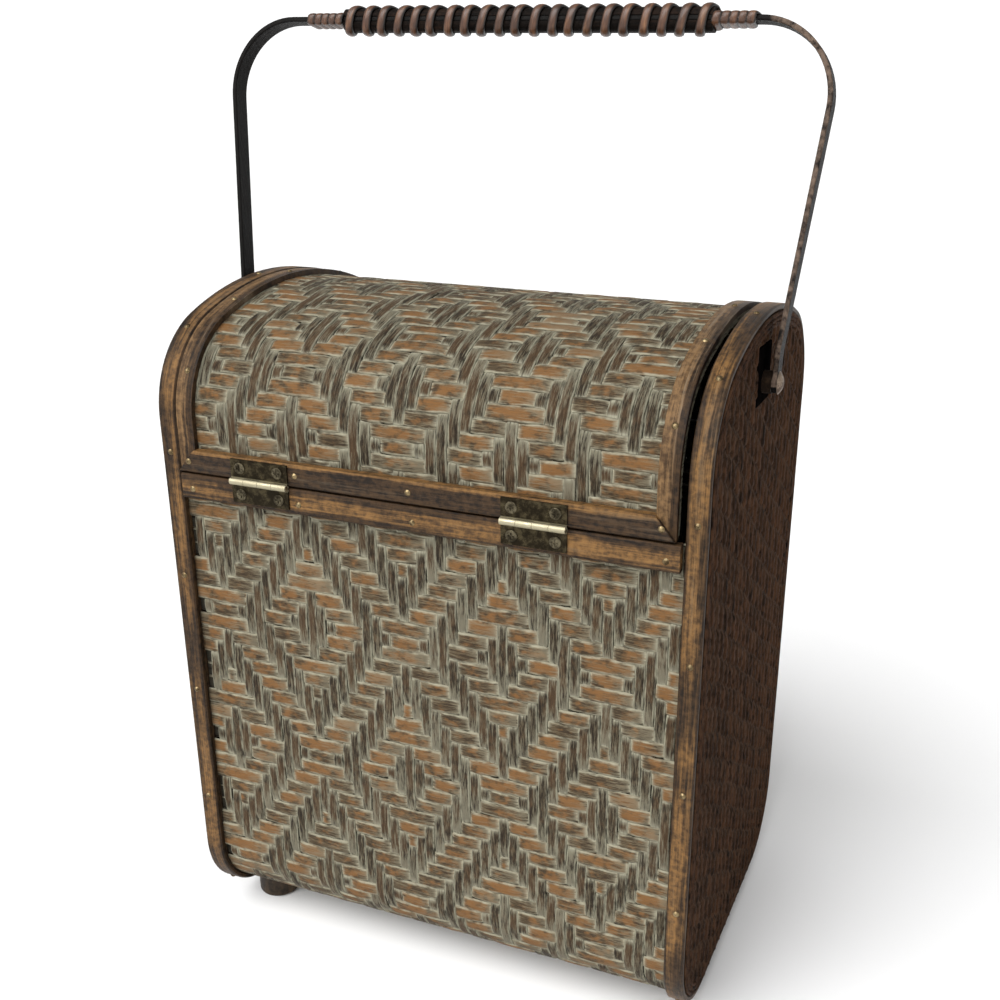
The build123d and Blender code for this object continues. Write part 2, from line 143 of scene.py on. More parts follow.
# %% The outline as a curve
rim_low, rim_high = box_mm("rim_left")
half_depth = rim_high[1]
bottom_z = rim_low[2]
top_z = rim_high[2]
shoulder_radius = 40.0
bottom_radius = 35.0
shoulder_drop = 47.0
shoulder_z = top_z - shoulder_drop
board_outer_x = box_mm("end_panel_right")[1][0]
across_y = half_depth - shoulder_radius
rise = top_z - shoulder_z
crown_radius = (rise**2 + across_y**2 - shoulder_radius**2) / (2 * (rise - shoulder_radius))
crown_z = top_z - crown_radius
shoulder_turn = np.arctan2(shoulder_z - crown_z, across_y)


def arc(y, z, radius, first, last, count):
    """Points and outward normals on an arc from one angle to another."""
    angle = np.linspace(first, last, count)
    normal = np.stack([np.cos(angle), np.sin(angle)], -1)
    return np.array([y, z]) + radius * normal, normal


def outline(inset):
    """The outline, moved in by inset, from the middle of the floor round the hinge side,
    over the top and back down the latch side: points, normals and length so far. Each arc
    is centre + radius * (cos a, sin a), and its normal is (cos a, sin a)."""
    corner_y = half_depth - bottom_radius
    half = [
        (np.array([[0.0, bottom_z + inset]]), np.array([[0.0, -1.0]])),
        arc(-corner_y, bottom_z + bottom_radius, bottom_radius - inset, -np.pi / 2, -np.pi, 60),
        arc(-across_y, shoulder_z, shoulder_radius - inset, np.pi, np.pi - shoulder_turn, 60),
        arc(0, crown_z, crown_radius - inset, np.pi - shoulder_turn, np.pi / 2, 120),
    ]
    points = np.concatenate([spots for spots, _ in half])
    normals = np.concatenate([ways for _, ways in half])
    points = np.concatenate([points, points[-2::-1] * [-1, 1]])
    normals = np.concatenate([normals, normals[-2::-1] * [-1, 1]])
    step = np.linalg.norm(np.diff(points, axis=0), axis=1)
    return points, normals, np.concatenate([[0], np.cumsum(step)])


class Track:
    """A walk along part of the outline, from the length begin to the length end."""

    def __init__(self, inset, begin, end):
        self.points, self.normals, self.length = outline(inset)
        self.begin, self.end = begin, end

    def at(self, t, height):
        """y and z at a length t along the outline and a height outwards from it: the point
        there plus height times the normal there."""
        y, z = (np.interp(t, self.length, self.points[:, k]) for k in range(2))
        ny, nz = (np.interp(t, self.length, self.normals[:, k]) for k in range(2))
        return y + ny * height, z + nz * height

    def place(self, s, height):
        """y and z at a distance s from the start of the walk."""
        return self.at((self.begin + s) % self.length[-1], height)


def length_at(inset, height):
    """Length along the hinge side's outline where it reaches a height on its straight part."""
    points, _, length = outline(inset)
    half = len(length) // 2
    return np.interp(height, points[1:half, 1], length[1:half])


print("outline", round(half_depth, 2), round(bottom_z, 2), round(top_z, 2))

# %% [markdown]
# ## The weave
#
# A splint is a flat ribbon of wood about a millimetre thick. Standing splints run round the
# case and lying splints run from board to board. The pattern is a diamond twill: each lying
# splint goes over three standing ones and under three, and the step turns back at regular
# places, which makes nested diamonds. Flat shading with a bump would lose the deep gaps, so
# every splint is a real ribbon with bevelled edges that dives under its neighbours.

# %% One set of ribbons
# A splint's section is in half widths across and half thicknesses up. Widths, heights and
# jitters are in millimetres; STEPS, SPREAD and EDGE_ROOM are in pitches of the weave.
SECTION = np.array([(-1, 0), (-0.74, 1), (0.74, 1), (1, 0), (0.74, -1), (-0.74, -1)], float)
STEPS = np.array([-0.36, 0.0, 0.36])  # samples of one crossing
RISE = 0.5                            # how far a splint passes over or under the middle
FLOAT_ARCH = 0.22                     # share by which the middle of a float rises more
THICK = 0.95
SPREAD = 1.10                         # width of a splint
EDGE_ROOM = 0.45                      # least room between a standing splint and the edge
TUCK = 1.0                            # least room between a lying splint and the opening
RISE_JITTER = 0.09
SIDE_JITTER = 0.16
TILT_JITTER = 0.10


def lies_over(a, b, turn_a, turn_b):
    """True where the lying splint is on top. The two counts fold back at their turning
    places, and every sixth step of their difference starts the pattern again."""
    fold_a = np.minimum(a % (2 * turn_a), -a % (2 * turn_a))
    fold_b = np.minimum(b % (2 * turn_b), -b % (2 * turn_b))
    return np.isin((fold_a - fold_b) % 6, (5, 0, 1))


def ribbon_field(signs):
    """Height, shade and place along its float of each ribbon at every sample. signs (R, C)
    says which side of the crossing a ribbon is on; between two crossings it eases over, and
    a float is a run of crossings on one side. A float's middle rises a little more."""
    before = np.concatenate([signs[:, :1], signs[:, :-1]], 1)
    after = np.concatenate([signs[:, 1:], signs[:, -1:]], 1)
    full = (before == signs) & (after == signs)
    jitter = rng.uniform(-RISE_JITTER, RISE_JITTER, signs.shape)
    height = signs * RISE * (1 + FLOAT_ARCH * full) + jitter
    left = np.concatenate([height[:, :1], height[:, :-1]], 1)
    right = np.concatenate([height[:, 1:], height[:, -1:]], 1)
    near = smoothstep((np.abs(STEPS) - 0.12) / 0.76)
    aside = np.where(STEPS < 0, left[..., None], right[..., None])
    lifted = height[..., None] * (1 - near) + aside * near
    change = before != signs
    run = np.cumsum(change, 1)
    place = np.broadcast_to(np.arange(signs.shape[1]), signs.shape)
    start = np.maximum.accumulate(np.where(change, place, 0), 1)
    number = run + np.arange(len(signs))[:, None] * (run.max() + 1)
    length = np.bincount(number.ravel())[number]
    along = 2 * ((place - start + 0.5)[..., None] + STEPS) / length[..., None] - 1
    tone = rng.uniform(0, 1, number.max() + 1)[number]
    flat = len(signs), -1
    return lifted.reshape(flat), np.repeat(tone, len(STEPS), 1), along.reshape(flat)


def ribbons(signs, pitch, samples):
    """Offsets of every point of every ribbon: across, height, and the attributes. A ribbon is
    SPREAD times its pitch wide, sways in two slow waves, and tilts a little."""
    lifted, shade, along = ribbon_field(signs)
    count, rows = lifted.shape
    own = rng.uniform(0, 1, count)
    wide = SPREAD * pitch * rng.uniform(0.95, 1.03, count)[:, None]
    phase = rng.uniform(0, 6.28, (count, 1))
    sway = 0.18 * np.sin(samples / 17 + phase) + 0.10 * np.sin(samples / 6.1 + 2 * phase)
    jitter = rng.uniform(-SIDE_JITTER, SIDE_JITTER, signs.shape)
    sway = sway + np.repeat(jitter, len(STEPS), 1)
    narrow = 1 - 0.08 * rng.uniform(0, 1, (count, rows))
    across = sway[..., None] + SECTION[:, 0] * (wide * narrow / 2)[..., None]
    tilt = rng.uniform(-TILT_JITTER, TILT_JITTER, shade.shape)
    tilt = (tilt + np.roll(tilt, 1, 1) + np.roll(tilt, -1, 1)) / 3
    height = lifted[..., None] + SECTION[:, 1] * THICK / 2 + SECTION[:, 0] * tilt[..., None]
    shape = height.shape
    grain = np.stack([
        across + 30 * own[:, None, None] + 7 * np.arange(count)[:, None, None],
        np.broadcast_to(samples[..., None], shape),
        np.broadcast_to(own[:, None, None] * 9, shape),
    ], -1)
    lift = (lifted / RISE)[..., None]
    attributes = {
        "grain": grain.reshape(-1, 3),
        "across": np.broadcast_to(SECTION[:, 0], shape).reshape(-1),
        "tone": np.broadcast_to(shade[..., None], shape).reshape(-1),
        "along": np.broadcast_to(along[..., None], shape).reshape(-1),
        "lift": np.where(SECTION[:, 1] == 0, np.abs(lift), SECTION[:, 1] * lift).reshape(-1),
    }
    return across, height, attributes


def counts(low, high, middle, pitch):
    """The splint numbers that fit between low and high, number 0 being at the middle."""
    return np.arange(int(np.ceil((low - middle) / pitch)),
                     int(np.floor((high - middle) / pitch)) + 1)


def weave_sheet(label, body, track, x_low, x_high, middle_x, pitch_x, middle_s, pitch_s, turns):
    """Both sets of splints of one sheet: standing ones number a at middle_x + a * pitch_x,
    lying ones number b at middle_s + b * pitch_s along the track. Returns the standing and
    the lying piece."""
    a = counts(x_low + EDGE_ROOM * pitch_x, x_high - EDGE_ROOM * pitch_x, middle_x, pitch_x)
    total = track.end - track.begin
    b = counts(TUCK, total - TUCK, middle_s, pitch_s)
    over = lies_over(a[:, None], b[None], *turns)
    stand_s = np.tile((middle_s + (b[:, None] + STEPS) * pitch_s).ravel(), (len(a), 1))
    stand_s = np.clip(stand_s, 0, total)
    across, height, info = ribbons(np.where(over, -1, 1), pitch_x, stand_s)
    x = middle_x + a[:, None, None] * pitch_x + across
    y, z = track.place(np.broadcast_to(stand_s[..., None], x.shape), height)
    quads = tube_quads(len(a), stand_s.shape[1], len(SECTION))
    standing = make_piece(f"{label}_standing", np.stack([x, y, z], -1), quads, body,
                          info)
    lie_x = (middle_x + (a[:, None] + STEPS) * pitch_x).ravel()
    lie_x = np.tile(np.concatenate([[x_low], lie_x, [x_high]]), (len(b), 1))
    across, height, info = lying(np.where(over.T, 1, -1), pitch_s, lie_x)
    s = middle_s + b[:, None, None] * pitch_s + across
    y, z = track.place(s, height)
    x = np.broadcast_to(lie_x[..., None], s.shape)
    quads = tube_quads(len(b), lie_x.shape[1], len(SECTION))
    lying_piece = make_piece(f"{label}_lying", np.stack([x, y, z], -1), quads, body,
                             info)
    return standing, lying_piece


def lying(signs, pitch, lie_x):
    """The lying ribbons, with one more sample at each end, tucked behind the strips. The
    first and the last sample's offsets and attributes are used twice."""
    across, height, info = ribbons(signs, pitch, lie_x[:, 1:-1])
    rows = across.shape[1]
    grow = [0, *range(rows), rows - 1]
    longer = {}
    for key, values in info.items():
        parts = values.shape[1:]
        longer[key] = values.reshape(*across.shape, *parts)[:, grow].reshape(-1, *parts)
    return across[:, grow], height[:, grow], longer


# %% The body sheet and the lid
sheet_low, sheet_high = box_mm("body_shell")
lid_low, lid_high = box_mm("lid_shell")
MID_INSET = half_depth - sheet_high[1] + 1.1  # from the outline to the weave's middle
DIAMOND_X = -7.5                              # where the standing splints are counted from
TOP_ROOM = 1.0                                # from a sheet's edge to the end of its walk


class WallDown(Track):
    """The body's walk: down the hinge side, under the floor and up the latch side. The
    latch side is the hinge side mirrored, so one half of the outline serves both."""

    def __init__(self, inset, top):
        reach = length_at(inset, top)
        super().__init__(inset, 0, 2 * reach)
        self.reach = reach

    def place(self, s, height):
        """y and z at a distance s below the hinge side's top edge."""
        t = self.reach - s
        y, z = self.at(np.abs(t), height)
        return np.where(t >= 0, 1.0, -1.0) * y, z


class Vault(Track):
    """The lid's walk: up the hinge side, over the top and down the latch side."""

    def __init__(self, inset, bottom):
        reach = length_at(inset, bottom)
        super().__init__(inset, reach, outline(inset)[2][-1] - reach)


body_walk = WallDown(MID_INSET, sheet_high[2] - TOP_ROOM)
lid_walk = Vault(MID_INSET, lid_low[2] + TOP_ROOM)
print("walks", round(body_walk.end, 1), round(lid_walk.end - lid_walk.begin, 1))
body_standing, body_lying = weave_sheet(
    "body_splints", "case", body_walk, sheet_low[0] + 0.2, sheet_high[0] - 0.2,
    middle_x=DIAMOND_X, pitch_x=4.2, middle_s=58.3, pitch_s=6.15, turns=(10, 10))
lid_standing, lid_lying = weave_sheet(
    "lid_splints", "lid", lid_walk, lid_low[0] + 0.3, lid_high[0] - 0.3,
    middle_x=DIAMOND_X, pitch_x=4.55, middle_s=65.0, pitch_s=5.8, turns=(10, 4))
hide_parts("body_shell")
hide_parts("lid_shell")


BAND_WIDTH = 2.0
BAND_HALF_THICK = 1.05
BAND_STEPS = 160


def end_band(name, x_low, x_high):
    """The bound edge of the lid's weave: a flat band as thick as the weave that follows the
    vault at one end and covers the ends of the lying splints."""
    s = np.linspace(0, lid_walk.end - lid_walk.begin, BAND_STEPS)[:, None]
    section = np.array([(0, 0), (0, 1), (1, 1), (1, 0), (1, -1), (0, -1)], float)
    y, z = lid_walk.place(s, BAND_HALF_THICK * section[:, 1][None])
    x = np.broadcast_to(x_low + (x_high - x_low) * section[:, 0], y.shape)
    info = {
        "grain": np.stack([x, np.broadcast_to(s, y.shape), z], -1).reshape(-1, 3),
        "across": np.zeros(y.size),
        "tone": np.full(y.size, 0.2),
        "along": np.full(y.size, 0.2),
        "lift": np.full(y.size, 0.3),
    }
    quads = tube_quads(1, BAND_STEPS, len(section))
    return make_piece(name, np.stack([x, y, z], -1), quads, "lid", info,
                      smooth=False)


band_left, band_right = lid_low[0] + 0.1, lid_high[0] - 0.1
bands = [end_band("lid_band_left", band_left, band_left + BAND_WIDTH),
         end_band("lid_band_right", band_right - BAND_WIDTH, band_right)]

# %% [markdown]
# ## The end boards' weave
#
# Each end board carries a finer weave of narrow splints, so its relief is a height for each
# point of a grid instead of separate ribbons. The grid is as wide as the outline at each
# height, and the pattern is worked out from the true place of each point.


# %% A relief grid inside the outline
SKIN_INSET = 2.6                      # from the outline to the edge of the woven face
SKIN_ROWS, SKIN_COLUMNS = 420, 224
SKIN_GAP = 0.05                       # from the board to the bottom of the relief
SKIN_RELIEF = 1.75
SKIN_HEM = 0.3                        # how deep the skirt reaches into the board
EDGE_FADE = 0.015                     # share of half a row over which the relief rises
PLATE_FADE = 1.2                      # the same around the pivot plate, in millimetres
FINE_Y, FINE_Z = 3.6, 4.4             # pitches of the fine weave
plate_low, plate_high = box_mm("pivot_plate_right")


def half_width(z, inset):
    """Half the outline's width at a height: from the corner arcs, the straight sides, the
    shoulder arcs or the top arc, whichever holds there."""
    corner_y = half_depth - bottom_radius
    low = bottom_z + bottom_radius - z
    wide = np.full_like(z, half_depth - inset)
    corner = np.sqrt(np.clip((bottom_radius - inset)**2 - low**2, 0, None))
    wide = np.where(low > 0, corner_y + corner, wide)
    high = z - shoulder_z
    shoulder = across_y + np.sqrt(np.clip((shoulder_radius - inset)**2 - high**2, 0, None))
    wide = np.where(high > 0, shoulder, wide)
    tangent = shoulder_z + (shoulder_radius - inset) * np.sin(shoulder_turn)
    top = np.sqrt(np.clip((crown_radius - inset)**2 - (z - crown_z)**2, 0, None))
    return np.where(z > tangent, top, wide)


def fine_weave(y, z):
    """A three-over, two-under twill of narrow splints, with a little sway in its lines:
    height from 0 to 1, place across the top splint, place along its float, a number for that
    splint, and whether it stands. The count of five runs up each standing splint and starts
    two rows higher on the next."""
    y = y + 0.7 * np.sin(z / 23) + 0.35 * np.sin(z / 7.3 + y / 31)
    z = z + 0.8 * np.sin(y / 19) + 0.5 * np.sin(y / 5.1 + 1.7)
    a, b = np.floor(y / FINE_Y), np.floor(z / FINE_Z)
    fy, fz = y / FINE_Y - a - 0.5, z / FINE_Z - b - 0.5
    count = (b - 2 * a) % 5
    stands = count < 3
    across = np.where(stands, fy, fz) * 2
    along = np.where(stands, (count + fz + 0.5) / 3 * 2 - 1, fy * 2)
    crown = np.sqrt(np.clip(1 - np.abs(across)**2.5, 0, 1))
    dive = 1 - 0.55 * smoothstep((np.abs(along) - 0.55) / 0.45)
    lower = np.where(stands, 1.0, 0.62)
    number = np.where(stands, np.sin(a * 12.9898) * 43758.5453, np.sin(b * 78.233) * 24634.63)
    return crown * dive * lower, across, along, number - np.floor(number), stands


def end_skin(side, name):
    """The woven face of one end board: a grid across it, and a skirt back into the board. Its
    relief is level at both sides of a row and around the handle's pivot plate."""
    z = np.linspace(bottom_z + SKIN_INSET + 0.2, top_z - SKIN_INSET - 0.2, SKIN_ROWS)
    u = np.linspace(-1, 1, SKIN_COLUMNS)
    y = u[None] * half_width(z, SKIN_INSET)[:, None]
    z = np.broadcast_to(z[:, None], y.shape)
    height, across, along, own, stands = fine_weave(y, z)
    edge = smoothstep((1 - np.abs(u)) / EDGE_FADE)[None]
    middle, reach = (plate_low + plate_high)[1:] / 2, (plate_high - plate_low)[1:] / 2
    beside = np.maximum(np.abs(y - middle[0]) - reach[0], np.abs(z - middle[1]) - reach[1])
    edge = edge * smoothstep(beside / PLATE_FADE)
    x = side * (board_outer_x + SKIN_GAP + SKIN_RELIEF * height * edge)
    index = np.arange(y.size).reshape(y.shape)
    front = np.stack([index[:-1, :-1], index[:-1, 1:], index[1:, 1:], index[1:, :-1]], -1)
    loop = np.concatenate([index[0, :-1], index[:-1, -1], index[-1, :0:-1], index[:0:-1, 0]])
    front = front.reshape(-1, 4)
    points = np.stack([x, y, z], -1).reshape(-1, 3)
    hem = points[loop] * [0, 1, 1] + [side * (board_outer_x - SKIN_HEM), 0, 0]
    low_ring = len(points) + np.arange(len(loop))
    skirt = np.stack([np.roll(loop, -1), loop, low_ring, np.roll(low_ring, -1)], -1)
    grain = np.where(stands[..., None], np.stack([y, z, own * 40], -1),
                     np.stack([z + 500, y, own * 40], -1)).reshape(-1, 3)
    info = {"grain": np.concatenate([grain, grain[loop]])}
    # lift also drives painted shade: the finish darkens the low places of the relief.
    for key, values in (("across", across), ("along", along), ("tone", own),
                        ("lift", 2.6 * height - 1.3)):
        flat = values.reshape(-1)
        info[key] = np.concatenate([flat, flat[loop]])
    return make_piece(name, np.concatenate([points, hem]), np.concatenate([front, skirt]),
                      "case", info)


left_skin = end_skin(-1, "end_weave_left")
right_skin = end_skin(1, "end_weave_right")

# %% [markdown]
# ## Border splints
#
# Inside each rim, three thin splints lie side by side along the outline and hide the cut
# ends of the end board's weave. Each is a small half-round section carried round the outline.

# %% Strips carried round the outline
BORDER_INSETS = (3.5, 5.3, 7.1)       # from the outline to the middle of each splint
BORDER_STEPS = 360
BORDER_LIFT = 0.9                     # from the board to the splint's widest place
BORDER_HALF = 0.8                     # half a splint's width
BORDER_SECTION = np.array([(-BORDER_HALF, 0), (-0.62, 0.62), (0, 0.85), (0.62, 0.62),
                           (BORDER_HALF, 0), (0, -0.4)])


def border_splint(side, inset, name):
    """One thin splint along the outline, as a closed ring."""
    length = outline(inset)[2][-1]
    spots = np.linspace(0, length, BORDER_STEPS + 1)[:-1, None]
    sway = 0.10 * np.sin(spots / 13 + inset) + 0.06 * np.sin(spots / 5 + 2 * inset)
    out = BORDER_SECTION[:, 0][None] + sway
    y, z = Track(inset, 0, length).at(spots, out)
    x = side * (board_outer_x + BORDER_LIFT + BORDER_SECTION[:, 1])
    place = np.stack([np.broadcast_to(x, out.shape), y, z], -1)
    ring = np.arange(len(BORDER_SECTION))
    start = np.arange(BORDER_STEPS)[:, None] * len(ring)
    after = np.roll(start, -1)
    quads = np.stack([start + ring, start + np.roll(ring, -1), after + np.roll(ring, -1),
                      after + ring], -1)
    info = {
        "grain": np.stack([out + 9 * inset, np.broadcast_to(spots, out.shape),
                           np.full_like(out, inset)], -1).reshape(-1, 3),
        "across": np.broadcast_to(BORDER_SECTION[:, 0] / BORDER_HALF, out.shape).reshape(-1),
        "tone": np.full(out.size, 0.5),
        "along": np.full(out.size, 0.0),
        "lift": np.full(out.size, 1.0),
    }
    return make_piece(name, place, quads, "case", info)


borders = []
for side, word in ((-1, "left"), (1, "right")):
    for number, inset in enumerate(BORDER_INSETS):
        borders.append(border_splint(side, inset, f"border_splint_{word}_{number + 1}"))

# %% [markdown]
# ## The wrapped grip
#
# A narrow strip of cane is wound round the strap and the two canes on it. It starts and ends
# with a few tight turns on the bare strap and runs between them in open turns, so the dark
# core shows in the gaps; its near-black colour is partly painted shade for those deep gaps.
# The path is a helix whose step changes; the section is a flat strip with a domed outside.

# %% The wound cane
core_low, core_high = box_mm("grip_core_top")
wrap_low, wrap_high = box_mm("grip_wrap")
handle_joint = next(j for j in frame["joints"] if j["name"] == "handle_swing")
pivot = np.array(handle_joint["pos_m"]) / MM
grip_middle = (wrap_low + wrap_high) / 2
lean = np.arctan2(grip_middle[1] - pivot[1], grip_middle[2] - pivot[2])
up = np.array([0, np.sin(lean), np.cos(lean)])
aside = np.array([0, np.cos(lean), -np.sin(lean)])
TIGHT = 3.6                           # step of a turn on the bare strap
OPEN = 7.3                            # step of a turn over the canes
CANE_WIDTH = 3.9
CANE_THICK = 1.25
CANE_SECTION = np.array([(-1, 0.1), (-0.86, 0.62), (-0.45, 0.92), (0, 1.0), (0.45, 0.92),
                         (0.86, 0.62), (1, 0.1), (0, -0.1)])
CANE_STEPS = 28                       # samples of one turn
PATH_WIDE = 4.2                       # half the width of the path across the strap
STRAP_TALL = 1.2                      # half its height on the bare strap
CORE_TALL = 3.35                      # what the canes add to that


def signed_power(value, power):
    """A power of the size of a value, with the value's sign kept."""
    return np.sign(value) * np.abs(value)**power


def wound_cane(low, high, thick_low, thick_high):
    """The helix. Its angle grows evenly; its step along the grip is TIGHT over the bare strap
    and OPEN over the canes. Its cross-section is the rounded oval
    (wide * cos(a)^p, tall * sin(a)^p), whose normal is (cos(a)^(2-p)/wide, sin(a)^(2-p)/tall);
    tall and p go from the strap's flat shape to the round shape of strap and canes."""
    left = round((thick_low - low) / TIGHT)
    middle = round((thick_high - thick_low) / OPEN)
    turns = left + middle + round((high - thick_high) / TIGHT)
    t = np.arange(turns * CANE_STEPS + 1) / CANE_STEPS
    x = np.interp(t, [0, left, left + middle, turns],
                  [low + CANE_WIDTH / 2, thick_low, thick_high, high - CANE_WIDTH / 2])
    fat = smoothstep((x - thick_low) / 3 + 0.5) * smoothstep((thick_high - x) / 3 + 0.5)
    x = x + fat * (0.35 * np.sin(t * 2.3) + 0.2 * np.sin(t * 5.1 + 1))
    angle = -2 * np.pi * t
    tall, power = STRAP_TALL + CORE_TALL * fat, 0.35 + 0.45 * fat
    cos, sin = np.cos(angle), np.sin(angle)
    line = np.stack([x, PATH_WIDE * signed_power(cos, power), tall * signed_power(sin, power)],
                    -1)
    normal = np.stack([0 * x, signed_power(cos, 2 - power) / PATH_WIDE,
                       signed_power(sin, 2 - power) / tall], -1)
    normal /= np.linalg.norm(normal, axis=1, keepdims=True)
    tangent = np.gradient(line, axis=0)
    tangent /= np.linalg.norm(tangent, axis=1, keepdims=True)
    sideways = np.cross(tangent, normal)
    sideways /= np.linalg.norm(sideways, axis=1, keepdims=True)
    section = CANE_SECTION[None]
    local = (line[:, None] + section[..., :1] * CANE_WIDTH / 2 * sideways[:, None]
             + section[..., 1:] * CANE_THICK * normal[:, None])
    world = (local[..., :1] * np.array([1, 0, 0]) + local[..., 1:2] * aside
             + local[..., 2:] * up + grip_middle * [0, 1, 1])
    shape = local.shape[:2]
    across = np.broadcast_to(CANE_SECTION[:, 0], shape)
    tone = 0.5 + 0.5 * np.sin(t * 1.9 + np.sin(t * 0.7) * 2)
    info = {
        "grain": np.stack([across * CANE_WIDTH / 2, np.broadcast_to((t * 30)[:, None], shape),
                           np.zeros(shape)], -1).reshape(-1, 3),
        "across": across.reshape(-1),
        "tone": np.broadcast_to(tone[:, None], shape).reshape(-1),
    }
    quads = tube_quads(1, len(t), len(CANE_SECTION))
    return make_piece("wound_cane", world, quads, "handle", info)


cane = wound_cane(wrap_low[0], wrap_high[0], core_low[0], core_high[0])
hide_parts("grip_wrap")


# %% [markdown]
# ## Helpers for finishes
#
# A finish is a tree of nodes. The small class below wraps one socket of that tree, so shader
# maths reads like ordinary maths, and any other node comes from one method.


# %% Sockets that can be added and multiplied
def linear(red, green, blue):
    """A colour given as eyes see it, 0 to 255, turned to linear light."""
    share = np.array([red, green, blue]) / 255
    return (*np.where(share < 0.04045, share / 12.92, ((share + 0.055) / 1.055)**2.4), 1.0)


class Value:
    """One output socket. Arithmetic on it adds Math nodes to its tree."""

    def __init__(self, finish, socket):
        self.finish = finish
        self.socket = socket

    def math(self, operation, *inputs):
        """A Math node on these inputs."""
        return self.finish.node("Math", {"operation": operation}, dict(enumerate(inputs)))

    def __add__(self, other):
        return self.math("ADD", self, other)

    def __radd__(self, other):
        return self.math("ADD", other, self)

    def __sub__(self, other):
        return self.math("SUBTRACT", self, other)

    def __rsub__(self, other):
        return self.math("SUBTRACT", other, self)

    def __mul__(self, other):
        return self.math("MULTIPLY", self, other)

    def __rmul__(self, other):
        return self.math("MULTIPLY", other, self)

    def size(self):
        """The value without its sign."""
        return self.math("ABSOLUTE", self)

    def fraction(self):
        """What is left of the value above the whole number below it."""
        return self.math("FRACT", self)

    def larger(self, other):
        """The larger of the value and another."""
        return self.math("MAXIMUM", self, other)

    def between(self, low, high):
        """0 below low, 1 above high, and a smooth step from one to the other."""
        return self.finish.node("MapRange", {"interpolation_type": "SMOOTHSTEP"},
                                {"Value": self, "From Min": low, "From Max": high})


class Finish:
    """One material: node() adds any node, and set() fills the shader's inputs."""

    def __init__(self, name):
        self.material = bpy.data.materials.new(name)
        self.material.use_nodes = True
        self.tree = self.material.node_tree
        self.shader = self.tree.nodes["Principled BSDF"]

    def plug(self, socket, value):
        """Links a Value to a socket, or sets a constant there."""
        if isinstance(value, Value):
            self.tree.links.new(value.socket, socket)
        else:
            socket.default_value = value

    def node(self, kind, settings=None, inputs=None, out=0):
        """Any node type, with its settings first and then its inputs by name or number."""
        made = self.tree.nodes.new("ShaderNode" + kind)
        for key, value in (settings or {}).items():
            if key == "stops":
                ramp = made.color_ramp.elements
                while len(ramp) < len(value):
                    ramp.new(1.0)
                for element, (place, colour) in zip(ramp, value):
                    element.position = place
                    element.color = colour
            else:
                setattr(made, key, value)
        for key, value in (inputs or {}).items():
            self.plug(made.inputs[key], value)
        return Value(self, made.outputs[out])

    def read(self, name, vector=False):
        """A value stored on the piece's own points."""
        return self.node("Attribute", {"attribute_name": name}, out=1 if vector else 2)

    def place(self, scale):
        """Object coordinates, scaled to the pattern's size."""
        spot = self.node("TexCoord", out=3)
        return self.node("Mapping", {}, {"Vector": spot, "Scale": scale})

    def stretch(self, vector, scale):
        """A vector multiplied by three numbers."""
        return self.node("VectorMath", {"operation": "MULTIPLY"}, {0: vector, 1: scale})

    def noise(self, vector, detail, rough=0.6):
        """Cloudy noise about 0.5, its size set by the vector's scale."""
        return self.node("TexNoise", {}, {"Vector": vector, "Scale": 1.0, "Detail": detail,
                                          "Roughness": rough})

    def mix(self, share, first, second):
        """A colour between two, by share."""
        return self.node("Mix", {"data_type": "RGBA"}, {0: share, 6: first, 7: second}, out=2)

    def ramp(self, value, *stops):
        """A colour read off a ramp."""
        return self.node("ValToRGB", {"stops": stops}, {"Fac": value})

    def bump(self, height, distance, strength):
        """Small relief for the Normal input."""
        return self.node("Bump", {}, {"Strength": strength, "Distance": distance,
                                      "Height": height})

    def set(self, **inputs):
        """Fills inputs of the shader; an underscore in a name stands for a space."""
        for key, value in inputs.items():
            self.plug(self.shader.inputs[key.replace("_", " ")], value)
        return self.material


def coat(piece, material):
    """Gives a piece or a node one material."""
    piece.data.materials.clear()
    piece.data.materials.append(material)
